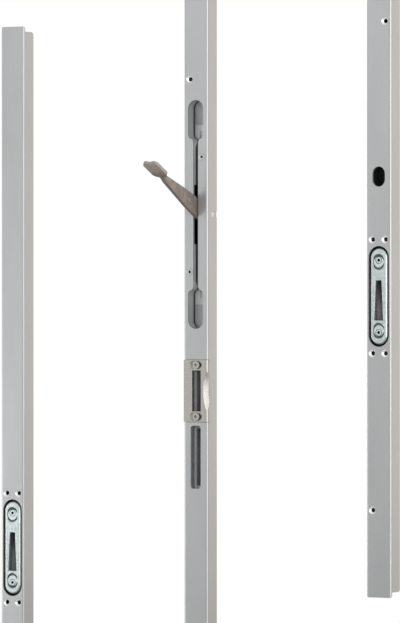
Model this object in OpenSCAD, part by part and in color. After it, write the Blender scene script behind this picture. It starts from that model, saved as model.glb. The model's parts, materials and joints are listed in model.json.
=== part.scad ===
// Lever-driven passive-leaf multipoint door lock in a steel channel, shown as the three
// lengths it is delivered in: top, centre and bottom, standing side by side.
// Frame: +X to the right across the face, +Y into the door, +Z up. The face plane is y = 0
// and the lever axle lies at x = 0, z = 0.

/* [Channel] */
// Outside width of the channel face
channel_w = 24; // [24:0.5:30]
// Outside depth of the channel
channel_d = 15.5; // [15.5:0.5:20]
// Sheet thickness of the channel
sheet_t = 2; // [1.5:0.25:2.5]
// Outside bend radius of the channel corners
bend_r = 2; // [1:0.25:3]
// How far the flanges stop short of the face at a finished end
flange_setback = 4.5; // [2:0.5:10]
// Corner radius of the face at a finished end
end_corner_r = 2; // [1:0.5:4]

/* [Sections] */
// Length of the centre channel above the lever axle
centre_up = 262; // [230:1:600]
// Length of the centre channel below the lever axle
centre_down = 378; // [340:1:700]
// Length of the top channel
top_len = 600; // [560:1:1000]
// Length of the bottom channel
bottom_len = 570; // [540:1:1000]
// Distance from the centre channel to the top channel beside it
top_pitch = 188; // [60:1:300]
// Distance from the centre channel to the bottom channel beside it
bottom_pitch = 180; // [60:1:300]
// Height of the top channel's finished end above the lever axle
top_end_z = 166.8; // [100:0.1:400]
// Depth of the bottom channel's finished end below the lever axle
bottom_end_drop = 324.8; // [200:0.1:500]

/* [Lever] */
// Length of the lever from its axle to its tip
lever_reach = 95.8; // [90:0.1:110]
// Thickness of the lever shank
lever_t = 3.2; // [2.4:0.1:3.4]
// Angle of the open lever above level
lever_lift = 26.5; // [0:0.5:80]
// Width of the finger paddle
paddle_w = 14; // [10:0.5:15]
// Length of the finger paddle
paddle_len = 23.8; // [18:0.1:26]
// Diameter of the lever axle
axle_d = 4.8; // [4:0.2:5.2]
// Side gap of the lever in its slit
slit_gap = 0.8; // [0.4:0.05:0.8]
// Gap round the paddle in its finger pocket
pocket_gap = 0.65; // [0.4:0.05:1]
// Room past the lever tip in its finger pocket
pocket_tip_room = 2.7; // [2.5:0.1:8]

/* [Drive] */
// Tooth module of the pinion and racks
gear_m = 1; // [0.8:0.05:1]
// Face width of the pinion
gear_w = 4.4; // [3.6:0.2:4.4]
// Thickness of the front rack strip behind its teeth
strip_t = 1.05; // [1:0.05:1.6]
// Thickness of the drive rods
rod_t = 2.2; // [1.8:0.1:2.6]
// Diameter of the shoot bolts
bolt_d = 10; // [8:0.25:11]
// Length of the shoot bolts
bolt_len = 60; // [50:1:61]
// How far a shoot bolt stands back from the flange end while the lever is half open
bolt_back = 0.2; // [0.2:0.1:3]

/* [Latch strike and bolt slot] */
// Height of the latch strike plate
strike_h = 53.5; // [50:0.5:60]
// Depth of the middle of the latch strike below the lever axle
strike_drop = 151.9; // [150:0.5:170]
// Thickness of the latch strike plate
strike_t = 3; // [2.5:0.25:4]
// Width of the latch opening in the strike
latch_w = 8.7; // [7:0.1:9]
// Height of the latch opening in the strike
latch_h = 35.3; // [30:0.1:36]
// Distance between the two strike screws
strike_screw_pitch = 44.5; // [44:0.1:48]
// Sideways adjustment of the strike, each way
strike_shift = 2.5; // [1:0.25:2.5]
// Width of the deadbolt slot
slot_w = 10; // [8:0.1:10]
// Height of the deadbolt slot
slot_h = 54.2; // [45:0.1:60]
// Gap between the strike plate and the deadbolt slot
slot_below_strike = 3.2; // [3:0.1:8]

/* [Hook keeps] */
// Width of the cut-out for a hook keep
keep_cut_w = 19.6; // [18.6:0.1:19.8]
// Height of the cut-out for a hook keep
keep_cut_h = 85; // [80:0.5:88]
// Side gap between a keep plate and its cut-out
keep_side_gap = 1.85; // [1.6:0.05:2.2]
// End gap between a keep plate and its cut-out
keep_end_gap = 2; // [1.6:0.1:4]
// Thickness of the keep plates
keep_t = 3.4; // [3:0.1:4]
// Width of the hook slot at its top
hook_w_top = 5.4; // [4.5:0.1:6.6]
// Width of the hook slot at its bottom
hook_w_bottom = 8.6; // [7:0.1:8.6]
// Height of the hook slot
hook_h = 33.7; // [28:0.1:34]
// Diameter of the eccentric adjuster discs
adjuster_d = 10; // [8:0.25:10]
// Sideways adjustment of a keep, each way
keep_shift = 1.2; // [0.8:0.1:1.2]
// Distance of each adjuster from the middle of its keep
adjuster_reach = 30.5; // [30:0.25:31]
// Distance from the top channel's finished end down to its keep
top_keep_drop = 458; // [400:1:500]
// Distance from the bottom channel's finished end up to its keep
bottom_keep_rise = 254; // [220:1:290]

/* [Screws and holes] */
// Diameter of the gear case screws
case_screw_d = 3.2; // [2.6:0.1:3.4]
// Diameter of the gear case screw heads
case_sink_d = 5.8; // [5:0.1:6]
// Diameter of the screw holes
screw_d = 3.6; // [3.2:0.1:4.2]
// Diameter of the countersinks
sink_d = 6.6; // [6:0.1:7]
// Sideways distance between the screws of a keep
keep_screw_x = 12.3; // [12:0.1:13]
// Height between the screws of a keep
keep_screw_z = 96; // [95:0.5:100]
// Distance of the single face screws from the channel's middle
face_screw_x = 6; // [5:0.1:7]
// Height of the centre channel's face screw above the lever axle
centre_screw_z = 116.5; // [112:0.5:125]
// Height of the lower face screw above the bottom channel's finished end
low_screw_rise = 73.6; // [73:0.1:110]
// Height of the upper face screw above the bottom channel's finished end
high_screw_rise = 486; // [440:1:500]
// Width of the oval hole in the bottom channel
oval_w = 12; // [9:0.1:13]
// Height of the oval hole in the bottom channel
oval_h = 17; // [15:0.1:22]
// Height of the oval hole above the bottom channel's finished end
oval_rise = 355; // [350:1:400]

/* [Hidden] */
$fn = 64;
cut = 1;

// Clearances shared by everything that fits together
seat_gap = 0.05;
fit_gap = 0.05;
slide_gap = 0.1;
run_gap = 0.3;

// Inside of the channel
inner = channel_w / 2 - sheet_t;
seat_y = sheet_t + seat_gap;
block = inner - slide_gap;

// Drive rods lie flush with the back of the channel
rod_y1 = channel_d - 0.2;
rod_y0 = rod_y1 - rod_t;
rod_mid_y = (rod_y0 + rod_y1) / 2;
rod_half = inner - 1;
block_back = rod_y0 - 2 * slide_gap;

// Pinion and racks
teeth = 10;
pressure = 28;
pitch_r = gear_m * teeth / 2;
tooth_pitch = PI * gear_m;
addendum = 0.7 * gear_m;
dedendum = 0.85 * gear_m;
backlash = 0.1;
strip_y0 = sheet_t + slide_gap;
strip_y1 = strip_y0 + strip_t;
pivot_y = strip_y1 + dedendum + pitch_r;
front_pitch_y = pivot_y - pitch_r;
rear_pitch_y = pivot_y + pitch_r;
rear_root_y = rear_pitch_y + dedendum;
rack_back_t = 1.75;
rack_back_y = rear_root_y + rack_back_t;
long_teeth = 5;
short_teeth = 3;
rack_end = (long_teeth + 0.4) * tooth_pitch;

// Lever angles, and the travel that the pinion gives the racks
lever_fold = 90 - lever_lift;
lever_drop = 90 + lever_lift;
throw = pitch_r * lever_drop * PI / 180;
pull = pitch_r * lever_fold * PI / 180;

// Lever and its slot
hub_r = pivot_y - sheet_t - 0.6;
axle_r = axle_d / 2;
axle_half = channel_w / 2 - 0.2;
notch_half = axle_r + 0.2;
paddle_t = 3;
paddle_start = lever_reach - paddle_len;
shank_end = paddle_start - 6;
shank_back = [[hub_r, 0], [pivot_y - 0.2, 0.26 * shank_end], [6.6, 0.58 * shank_end], [2.6, shank_end]];
shank_head = [[paddle_t / 2, paddle_start + 2], [-paddle_t / 2, paddle_start + 2]];
shank_front = [[-3.3, shank_end], [-0.95 * hub_r, 0.4 * shank_end], [-hub_r, 0]];
slit_w = lever_t + 2 * slit_gap;

// Finger pocket, with shoulders that run into the slit in one curve
pocket_r = paddle_w / 2 + pocket_gap;
pocket_end = lever_reach + pocket_tip_room;
pocket_start = paddle_start - 3;
shoulder_r = 4;
shoulder_x = pocket_r - shoulder_r;
neck_r = 4;
neck_x = slit_w / 2 + neck_r;
neck_drop = sqrt(pow(shoulder_r + neck_r, 2) - pow(neck_x - shoulder_x, 2));
neck_end = pocket_start - neck_drop;
neck_share = shoulder_r / (shoulder_r + neck_r);
blend_x = shoulder_x + (neck_x - shoulder_x) * neck_share;
blend_z = pocket_start - neck_drop * neck_share;
trough_wall = 0.8;
trough_half = slit_w / 2 + trough_wall;
trough_start = 25.5;
cup_wall = 0.7;
cup_back = rod_y0 - slide_gap;
cup_floor = cup_back - cup_wall;
cup_skin = 0.4;
cup_fold = pocket_start + 8;
cup_rise = 1;
cup_rim = cup_floor - cup_rise;

// Gear case
gear_x0 = trough_half + run_gap;
gear_x1 = gear_x0 + gear_w;
gear_mid_x = (gear_x0 + gear_x1) / 2;
case_half = inner - 2 * slide_gap;
case_wall = 1.6;
case_screw_x = 6;
case_screw_z = 49.5;
case_h = case_screw_z + 7.5;
case_lid_y = rack_back_y + run_gap;
case_back = case_lid_y + 1.4;
case_lid_x = slit_w / 2 + run_gap;
boss_r = 2.7;

// Joint between a rack and its rod
lap_room = 1;
lap_z = case_h + pull + lap_room;
lap_h = 14;
lap_gap = 0.2;
rivet_r = 1.5;
arm_z = rack_end + throw + 3;
arm_h = 6;

// Latch strike, carrier and the boxes behind
strike_z = -strike_drop;
strike_top = strike_z + strike_h / 2;
strike_bottom = strike_z - strike_h / 2;
strike_gap = 0.3;
latch_x = 0.75;
strike_screw_r = 3.3;
strike_sink_y = strike_t - 1;
strike_slot_w = 2 * strike_screw_r + 0.4;
strike_slot_l = 2 * (strike_screw_r + strike_shift) + 1.7;
screw_r = screw_d / 2;
slot_top = strike_bottom - slot_below_strike;
slot_z = slot_top - slot_h / 2;
slot_corner_r = 2.5;
carrier_y = 8.8;
carrier_margin = 4;
carrier_lip_y = 7;
box_wall = 1.2;
box_half = slot_w / 2 + box_wall - 0.1;
box_step = 1.2;
box_back = channel_d + 9;
window_half = box_half + run_gap;
window_room = 1;

// Hook keeps
plate_y0 = -0.2;
plate_y1 = plate_y0 + keep_t;
ledge_y = plate_y1 + seat_gap;
keep_w = keep_cut_w - 2 * keep_side_gap;
keep_h = keep_cut_h - 2 * keep_end_gap;
keep_bevel = 1;
keep_pocket_w = 2 * block - 1;
keep_pocket_h = keep_cut_h - keep_cut_w + keep_pocket_w;
hook_shift = 3.45;
hook_pocket_half = hook_w_bottom / 2 + 0.9;
hook_pocket_room = 1.5;
housing_wall = 0.8;
housing_half = keep_screw_z / 2 + 6;
eccentric = keep_shift * 1.25;
adjuster_r = adjuster_d / 2;
adjuster_gap = 0.15;
adjuster_bevel = 0.45;
adjuster_ring_r = 3.1;
adjuster_ring_w = 0.5;
disc_y0 = 0.05;
disc_y1 = 1.35;
stud_r = 2.4;
stud_end = 11;
socket_r = 1.45;
socket_depth = 2.2;
adjuster_socket_depth = 6;
case_socket_r = 1.3;
case_rim_gap = 0.4;

// Finished ends, bolts and guides
flange_r = 3;
bolt_r = bolt_d / 2;
bolt_y = rod_y0 - bolt_r + 0.3;
bolt_tip = flange_setback + bolt_back;
bolt_guide_l = 25;
bolt_guide_back = bolt_tip + 1.5;
rod_head = bolt_guide_back + bolt_guide_l + throw + 3;
bolt_flat = bolt_tip + bolt_len - rod_head;
bolt_rivet_places = [-rod_head - bolt_flat / 4, -rod_head - bolt_flat * 3 / 4];
guide_l = 12;
guide_back = rod_y1 + 1.7;
guide_room = 20;
bolt_rod_guide = bolt_tip + bolt_len + pull + guide_room + guide_l / 2;
rod_end_gap = 2;

// Joints between the channel lengths
joint_half = 8;
joint_t = 3;
joint_hold = 26;
joint_screw_x = 5;
joint_screw_z = 13;
tie_h = 16;
tie_z = tie_h / 2 - rod_end_gap;

// Places of the two outer channels
top_x = -top_pitch;
bottom_x = bottom_pitch;
top_low_z = top_end_z - top_len;
bottom_end_z = -bottom_end_drop;
bottom_high_z = bottom_end_z + bottom_len;
top_keep_z = top_end_z - top_keep_drop;
bottom_keep_z = bottom_end_z + bottom_keep_rise;
oval_z = bottom_end_z + oval_rise;
low_screw_z = bottom_end_z + low_screw_rise;
high_screw_z = bottom_end_z + high_screw_rise;

// Places of the rod guides, each midway between its neighbours
carrier_low = slot_z - slot_h / 2 - carrier_margin;
centre_guides = [
    (centre_screw_z + centre_up - joint_hold) / 2,
    (carrier_low - centre_down + joint_hold) / 2
];
top_high_guide = top_end_z - bolt_rod_guide;
top_guides = [
    (top_low_z + joint_hold + top_keep_z - housing_half) / 2,
    (top_keep_z + housing_half + top_high_guide) / 2,
    top_high_guide
];
bottom_guides = [
    bottom_end_z + bolt_rod_guide,
    (oval_z + high_screw_z) / 2,
    (high_screw_z + bottom_high_z - joint_hold) / 2
];

steel = "#b9bcbd";
zinc = "#cfd6d6";
bright = "#a9a9a2";
bronze = "#948a84";
black = "#2a2b2c";
dark = "#6f7375";

// Box between two corners
module slab(x0, x1, y0, y1, z0, z1) {
    translate([x0, y0, z0]) cube([x1 - x0, y1 - y0, z1 - z0]);
}

// Round bar along Y
module pin_y(x, z, y0, y1, r) {
    translate([x, y0, z]) rotate([-90, 0, 0]) cylinder(h = y1 - y0, r = r);
}

// Round bar along X
module pin_x(y, z, x0, x1, r) {
    translate([x0, y, z]) rotate([0, 90, 0]) cylinder(h = x1 - x0, r = r);
}

// Outline drawn in X and Z, given thickness along Y
module face_extrude(y0, y1) {
    translate([0, y1, 0]) rotate([90, 0, 0]) linear_extrude(y1 - y0) children();
}

// Outline drawn in Y and Z, given thickness along X
module side_extrude(x0, x1) {
    translate([x0, 0, 0]) rotate([90, 0, 90]) linear_extrude(x1 - x0) children();
}

// Mirrored copy for the lower half
module flip_z(on) {
    mirror([0, 0, on ? 1 : 0]) children();
}

// Upright obround outline
module obround_2d(w, h) {
    square([w, h - w], center = true);
    for (end = [-1, 1]) translate([0, end * (h - w) / 2]) circle(d = w);
}

// Level obround outline
module slot_2d(l, w) {
    rotate(90) obround_2d(w, l);
}

// Rectangle with round corners
module rounded_2d(w, h, r) {
    square([w - 2 * r, h], center = true);
    square([w, h - 2 * r], center = true);
    for (x = [-1, 1], y = [-1, 1]) translate([x * (w / 2 - r), y * (h / 2 - r)]) circle(r = r);
}

// What is cut away to round the corner at the origin
module corner_cut_2d(r) {
    translate([-r, -r]) difference() {
        square(r + cut);
        circle(r = r);
    }
}

// Countersunk screw hole of diameter d through the channel face
module face_hole(x, z, d = screw_d, sink = sink_d) {
    pin_y(x, z, -cut, sheet_t + cut, d / 2);
    translate([x, 0, z]) rotate([-90, 0, 0])
        cylinder(h = (sink - d) / 2, r1 = sink / 2, r2 = d / 2);
}

// Countersunk screw with a hexagon socket, its head flush with the face
module sunk_screw(x, z, end_y, d = screw_d, sink = sink_d, socket = socket_r, rim_gap = fit_gap) {
    head = (sink - d) / 2;
    translate([x, 0, z]) rotate([-90, 0, 0]) difference() {
        union() {
            cylinder(h = head, r1 = sink / 2 - rim_gap, r2 = d / 2 - fit_gap);
            cylinder(h = end_y, r = d / 2 - fit_gap);
        }
        translate([0, 0, -cut]) cylinder(h = cut + socket_depth, r = socket, $fn = 6);
    }
}

// Channel section, from z0 up to z1
module channel_bar(z0, z1) {
    translate([0, 0, z0]) linear_extrude(z1 - z0) difference() {
        union() {
            translate([-channel_w / 2 + bend_r, 0]) square([channel_w - 2 * bend_r, channel_d]);
            translate([-channel_w / 2, bend_r]) square([channel_w, channel_d - bend_r]);
            for (side = [-1, 1]) translate([side * (channel_w / 2 - bend_r), bend_r]) circle(r = bend_r);
        }
        translate([-inner, sheet_t]) square([2 * inner, channel_d]);
    }
}

// Trim of a finished end whose face ends at the origin, upward
module end_trim() {
    slab(-channel_w, channel_w, bend_r, channel_d + cut, -flange_setback, cut);
    for (side = [0, 1]) mirror([side, 0, 0])
        face_extrude(-cut, bend_r + cut) translate([channel_w / 2, 0]) corner_cut_2d(end_corner_r);
    side_extrude(-channel_w, channel_w)
        translate([channel_d, -flange_setback]) corner_cut_2d(flange_r);
}

// Screw holes that take a joint plate, at a plain end
module joint_holes(end_z, inward) {
    for (side = [-1, 1]) face_hole(side * joint_screw_x, end_z + inward * joint_screw_z);
}

// Lever slot: finger pocket above, seen from the front
module pocket_2d(grow = 0) {
    reach = pocket_r + grow;
    translate([-reach, pocket_start]) square([2 * reach, pocket_end - pocket_r - pocket_start]);
    translate([0, pocket_end - pocket_r]) circle(r = reach);
    for (side = [-1, 1]) translate([side * shoulder_x, pocket_start]) circle(r = shoulder_r + grow);
    translate([-shoulder_x, pocket_start - shoulder_r - grow])
        square([2 * shoulder_x, shoulder_r + 2 * grow + fit_gap]);
    difference() {
        translate([-blend_x - grow, neck_end]) square([2 * (blend_x + grow), blend_z - neck_end]);
        for (side = [-1, 1]) translate([side * neck_x, neck_end]) circle(r = neck_r - grow);
    }
}

// Whole lever slot in the face
module lever_slot_2d() {
    translate([-slit_w / 2, -neck_end - fit_gap]) square([slit_w, 2 * (neck_end + fit_gap)]);
    pocket_2d();
    mirror([0, 1]) pocket_2d();
}

// Seats of the axle, open to the back edge of both flanges
module axle_notch() {
    pin_x(pivot_y, 0, -channel_w, channel_w, notch_half);
    slab(-channel_w, channel_w, pivot_y, channel_d + cut, -notch_half, notch_half);
}

module centre_channel() {
    color(steel) difference() {
        channel_bar(-centre_down, centre_up);
        face_extrude(-cut, sheet_t + cut) lever_slot_2d();
        axle_notch();
        for (side = [-1, 1]) face_hole(side * case_screw_x, side * case_screw_z, case_screw_d, case_sink_d);
        face_hole(-face_screw_x, centre_screw_z);
        slab(-channel_w, channel_w, -cut, strike_t + slide_gap,
             strike_bottom - strike_gap, strike_top + strike_gap);
        translate([0, 0, slot_z]) face_extrude(-cut, sheet_t + cut)
            rounded_2d(slot_w, slot_h, slot_corner_r);
        joint_holes(centre_up, -1);
        joint_holes(-centre_down, 1);
    }
}

// One half shell of the gear case, for the right-hand side; its screw boss is above the axle
module gear_case_half() {
    difference() {
        union() {
            slab(case_half - case_wall, case_half, seat_y, case_back, -case_h, case_h);
            slab(case_lid_x, case_half, case_lid_y, case_back, -case_h, case_h);
            for (end = [-1, 1]) translate([0, 0, end * (case_h - case_wall / 2)])
                slab(trough_half + slide_gap, case_half, seat_y, block_back, -case_wall / 2, case_wall / 2);
            pin_y(case_screw_x, case_screw_z, seat_y, block_back, boss_r);
        }
        pin_y(case_screw_x, case_screw_z, 0, block_back + cut, case_screw_d / 2);
        pin_x(pivot_y, 0, 0, channel_w, axle_r + fit_gap);
    }
}

module gear_case_right() {
    color(dark) gear_case_half();
}

module gear_case_left() {
    color(dark) rotate([0, 180, 0]) gear_case_half();
}

module gear_case_screws() {
    color(bright) for (side = [-1, 1])
        sunk_screw(side * case_screw_x, side * case_screw_z, block_back - cut,
                   case_screw_d, case_sink_d, case_socket_r, case_rim_gap);
}

module lever_axle() {
    color(bright) pin_x(pivot_y, 0, -axle_half, axle_half, axle_r);
}

// Finger paddle outline, across X and along the lever; its tip is hollowed between two corners
module paddle_2d() {
    tip_r = 3.5;
    tip_hollow = 1.2;
    shoulder = 5;
    fillet = 2;
    half = paddle_w / 2;
    tip_half = half - tip_r;
    hollow_r = (pow(tip_half, 2) + pow(tip_hollow, 2)) / (2 * tip_hollow);
    translate([-half, paddle_start + shoulder]) square([paddle_w, paddle_len - shoulder - tip_r]);
    translate([-half + shoulder, paddle_start]) square([paddle_w - 2 * shoulder, shoulder]);
    difference() {
        translate([-tip_half, lever_reach - 2 * tip_r]) square([2 * tip_half, 2 * tip_r]);
        translate([0, lever_reach + hollow_r - tip_hollow]) circle(r = hollow_r);
    }
    for (side = [-1, 1]) {
        difference() {
            translate([side * tip_half, lever_reach - tip_r]) circle(r = tip_r);
            translate([0, lever_reach + hollow_r - tip_hollow]) circle(r = hollow_r);
        }
        translate([side * (half - shoulder), paddle_start + shoulder]) circle(r = shoulder);
    }
    difference() {
        translate([-lever_t / 2 - fillet, paddle_start - fillet])
            square([lever_t + 2 * fillet, fillet + 1]);
        for (side = [-1, 1]) translate([side * (lever_t / 2 + fillet), paddle_start - fillet])
            circle(r = fillet);
    }
}

// Lever folded up, its axle at the origin
module lever_folded() {
    bevel = 4;
    difference() {
        union() {
            side_extrude(-lever_t / 2, lever_t / 2) {
                circle(r = hub_r);
                polygon(concat(shank_back, shank_head, shank_front));
            }
            face_extrude(-paddle_t / 2, paddle_t / 2) paddle_2d();
        }
        pin_x(0, 0, -channel_w, channel_w, axle_r + fit_gap);
        side_extrude(-paddle_w, paddle_w)
            polygon([[-paddle_t, lever_reach - bevel], [-paddle_t / 2, lever_reach - bevel],
                     [-paddle_t / 5, lever_reach], [-paddle_t / 5, lever_reach + cut],
                     [-paddle_t, lever_reach + cut]]);
    }
}

module lever() {
    color(bronze) translate([0, pivot_y, 0]) rotate([lever_fold, 0, 0]) lever_folded();
}

// Involute: how far a flank has turned at radius r
function roll(base, r) = tan(acos(base / r)) * 180 / PI - acos(base / r);
function on_circle(r, a) = [r * cos(a), r * sin(a)];

// One pinion tooth, pointing along the first axis
module pinion_tooth_2d() {
    base = pitch_r * cos(pressure);
    tip = pitch_r + addendum;
    half = 90 / teeth - backlash / 2 / pitch_r * 180 / PI;
    steps = 4;
    radii = [for (i = [0 : steps]) base + (tip - base) * i / steps];
    flank = [for (r = radii) on_circle(r, half + roll(base, pitch_r) - roll(base, r))];
    foot = on_circle(base - 2 * (tip - pitch_r), half + roll(base, pitch_r));
    upper = concat([foot], flank);
    lower = [for (i = [len(upper) - 1 : -1 : 0]) [upper[i][0], -upper[i][1]]];
    polygon(concat(upper, lower));
}

module pinion_2d() {
    circle(r = pitch_r - dedendum);
    for (i = [0 : teeth - 1]) rotate((i + 0.5) * 360 / teeth) pinion_tooth_2d();
}

module lever_pinion() {
    boss = pitch_r - dedendum - 0.3;
    color(bright) translate([0, pivot_y, 0]) difference() {
        union() {
            side_extrude(gear_x0, gear_x1) pinion_2d();
            pin_x(0, 0, lever_t / 2, gear_x0 + fit_gap, boss);
        }
        pin_x(0, 0, -channel_w, channel_w, axle_r + fit_gap);
    }
}

// Rack teeth on a pitch line; back is +1 where the rack's body lies behind them
module rack_teeth_2d(pitch_y, back, first, last) {
    half = tooth_pitch / 4 - backlash / 2;
    slope = tan(pressure);
    tip = half - addendum * slope;
    root = half + dedendum * slope;
    for (i = [first : last]) translate([pitch_y, i * tooth_pitch])
        polygon([[-back * addendum, -tip], [-back * addendum, tip],
                 [back * dedendum, root], [back * dedendum, -root]]);
}

// Flat tail of a rack, with the half lap that its rod takes; upward
module rack_tail(start) {
    slab(gear_x0, gear_x1, rod_y0, rod_y1, start, lap_z);
    slab(gear_x0, gear_x1, rod_mid_y, rod_y1, lap_z - fit_gap, lap_z + lap_h);
}

module rivet_hole(z) {
    pin_y(gear_mid_x, z, rod_y0 - cut, rod_y1 + cut, rivet_r + fit_gap / 2);
}

module upper_rack() {
    step_z = (short_teeth + 0.6) * tooth_pitch + pull + 1;
    color(bright) difference() {
        union() {
            side_extrude(gear_x0, gear_x1) rack_teeth_2d(rear_pitch_y, 1, -long_teeth, short_teeth);
            slab(gear_x0, gear_x1, rear_root_y - fit_gap, rack_back_y, -rack_end, step_z + arm_h);
            slab(gear_x0, gear_x1, rod_y0, rack_back_y, step_z, step_z + arm_h);
            rack_tail(step_z);
        }
        rivet_hole(lap_z + lap_h / 2);
    }
}

module lower_rack() {
    color(bright) difference() {
        union() {
            side_extrude(gear_x0, gear_x1) rack_teeth_2d(front_pitch_y, -1, -short_teeth, long_teeth);
            slab(gear_x0, gear_x1, strip_y0, strip_y1 + fit_gap, -arm_z - arm_h, rack_end);
            slab(gear_x0, gear_x1, strip_y0, rod_y1, -arm_z - arm_h, -arm_z);
            flip_z(true) rack_tail(arm_z);
        }
        rivet_hole(-lap_z - lap_h / 2);
    }
}

// Flat drive rod between two heights
module rod_bar(z0, z1) {
    slab(-rod_half, rod_half, rod_y0, rod_y1, z0, z1);
}

// Window in a rod for something fixed between z0 and z1; the rod moves up and down round it
module rod_window(z0, z1, up, down) {
    slab(-window_half, window_half, rod_y0 - cut, rod_y1 + cut,
         z0 - up - window_room, z1 + down + window_room);
}

// Notch in the edge of a rod for a screw at z; side is -1 on the left
module rod_notch(side, x, z, up, down) {
    room = screw_r + run_gap;
    inside = x - room;
    translate([side * (inside + rod_half), 0, 0])
        slab(-rod_half, rod_half, rod_y0 - cut, rod_y1 + cut, z - room - up, z + room + down);
}

// Lap that takes a rack's tail, at a rod's inner end; upward
module rod_lap() {
    slab(gear_x0 - lap_gap, gear_x1 + lap_gap, rod_mid_y, rod_y1 + cut,
         lap_z - cut, lap_z + lap_h + lap_gap);
}

// Half lap at a rod's coupling end, with its pin hole; front keeps the front half
module rod_tie(end_z, inward, front) {
    z0 = min(end_z, end_z + inward * tie_h);
    y0 = front ? rod_mid_y : rod_y0 - cut;
    y1 = front ? rod_y1 + cut : rod_mid_y;
    slab(-channel_w, channel_w, y0, y1, z0 - fit_gap, z0 + tie_h + fit_gap);
    pin_y(0, end_z + inward * tie_z, rod_y0 - cut, rod_y1 + cut, screw_r);
}

module upper_rod() {
    end_z = centre_up - rod_end_gap;
    color(bright) difference() {
        rod_bar(lap_z + lap_gap, end_z);
        rod_lap();
        rivet_hole(lap_z + lap_h / 2);
        rod_notch(-1, face_screw_x, centre_screw_z, throw, pull);
        rod_tie(end_z, -1, true);
    }
}

module lower_rod() {
    end_z = -centre_down + rod_end_gap;
    color(bright) difference() {
        rod_bar(end_z, -lap_z - lap_gap);
        flip_z(true) rod_lap();
        rivet_hole(-lap_z - lap_h / 2);
        rod_window(slot_z - slot_h / 2 - box_wall, strike_top, pull, throw);
        rod_tie(end_z, 1, true);
    }
}

module upper_rod_rivet() {
    color(zinc) pin_y(gear_mid_x, lap_z + lap_h / 2, rod_y0, rod_y1, rivet_r);
}

module lower_rod_rivet() {
    color(zinc) pin_y(gear_mid_x, -lap_z - lap_h / 2, rod_y0, rod_y1, rivet_r);
}

// Cast finger recess behind the upper pocket, with the trough that takes the shank
module finger_recess() {
    difference() {
        union() {
            face_extrude(seat_y, cup_back) pocket_2d(cup_wall);
            slab(-trough_half, trough_half, seat_y, cup_floor, trough_start, pocket_start);
        }
        slab(-slit_w / 2, slit_w / 2, 0, channel_d, trough_start - cut, shank_end);
        slab(-slit_w / 2, slit_w / 2, 0, cup_back - cup_skin, shank_end - cut, paddle_start);
        intersection() {
            face_extrude(0, channel_d) pocket_2d();
            side_extrude(-channel_w, channel_w)
                polygon([[0, neck_end - cut], [cup_rim, neck_end - cut], [cup_rim, neck_end],
                         [cup_floor, cup_fold], [cup_rim, pocket_end], [cup_rim, pocket_end + cut],
                         [0, pocket_end + cut]]);
        }
    }
}

module upper_finger_recess() {
    color(zinc) finger_recess();
}

module lower_finger_recess() {
    color(zinc) flip_z(true) finger_recess();
}

// Zinc block behind the strike and the deadbolt slot
module strike_carrier() {
    color(dark) difference() {
        slab(-block, block, seat_y, carrier_y, carrier_low, strike_top + carrier_margin);
        slab(-channel_w, channel_w, 0, strike_t + slide_gap,
             strike_bottom - strike_gap, strike_top + strike_gap);
        slab(-slot_w / 2, slot_w / 2, 0, carrier_lip_y, strike_z - latch_h / 2, strike_z + latch_h / 2);
        translate([0, 0, slot_z]) face_extrude(0, carrier_lip_y) rounded_2d(slot_w, slot_h, slot_corner_r);
        for (opening = [[strike_z, latch_h], [slot_z, slot_h - 2 * slot_corner_r]])
            slab(-slot_w / 2 + box_step, slot_w / 2, 0, carrier_y + cut,
                 opening[0] - opening[1] / 2, opening[0] + opening[1] / 2);
        for (end = [-1, 1]) pin_y(0, strike_z + end * strike_screw_pitch / 2, 0, carrier_y + cut, screw_r);
    }
}

module latch_strike() {
    lip_r = strike_t - 0.2;
    scoop_r = 80;
    scoop = 2.8;
    color(bright) difference() {
        translate([0, 0, strike_bottom]) linear_extrude(strike_h) {
            translate([-channel_w / 2, 0]) square([channel_w - lip_r, strike_t]);
            translate([0, lip_r]) square([channel_w / 2, strike_t - lip_r]);
            translate([channel_w / 2 - lip_r, lip_r]) intersection() {
                circle(r = lip_r);
                translate([0, -lip_r]) square([lip_r, strike_t]);
            }
        }
        translate([channel_w / 2 + 0.6 * (scoop_r - scoop), -0.8 * (scoop_r - scoop), strike_z])
            sphere(r = scoop_r);
        slab(latch_x - latch_w / 2, latch_x + latch_w / 2, -cut, strike_t + cut,
             strike_z - latch_h / 2, strike_z + latch_h / 2);
        for (end = [-1, 1]) translate([0, 0, strike_z + end * strike_screw_pitch / 2]) {
            face_extrude(-cut, strike_sink_y) slot_2d(strike_slot_l, strike_slot_w);
            face_extrude(-cut, strike_t + cut) slot_2d(2 * (screw_r + strike_shift) + 1, screw_d + run_gap);
        }
    }
}

module latch_strike_screws() {
    head_y = 0.2;
    place = strike_screw_pitch / 2;
    color(bright) for (end = [-1, 1]) translate([0, 0, strike_z + end * place]) difference() {
        union() {
            pin_y(0, 0, head_y, strike_sink_y - seat_gap, strike_screw_r);
            pin_y(0, 0, head_y, carrier_y - seat_gap, screw_r - fit_gap);
        }
        translate([0, head_y - cut, 0]) rotate([-90, 0, 0]) cylinder(h = cut + 1.4, r = socket_r, $fn = 6);
    }
}

// Plastic box behind an opening of the carrier, open to the front
module sleeve_box(z, h) {
    flange = 1.2;
    difference() {
        union() {
            slab(-block, block, carrier_y + seat_gap, carrier_y + flange,
                 z - h / 2 - box_wall, z + h / 2 + box_wall);
            slab(-box_half, box_half, carrier_y + seat_gap, box_back,
                 z - h / 2 - box_wall, z + h / 2 + box_wall);
        }
        slab(-slot_w / 2 + box_step, slot_w / 2 - fit_gap, carrier_y, box_back - box_wall,
             z - h / 2, z + h / 2);
    }
}

module latch_box() {
    color(black) sleeve_box(strike_z, latch_h);
}

module bolt_box() {
    color(black) sleeve_box(slot_z, slot_h);
}

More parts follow.
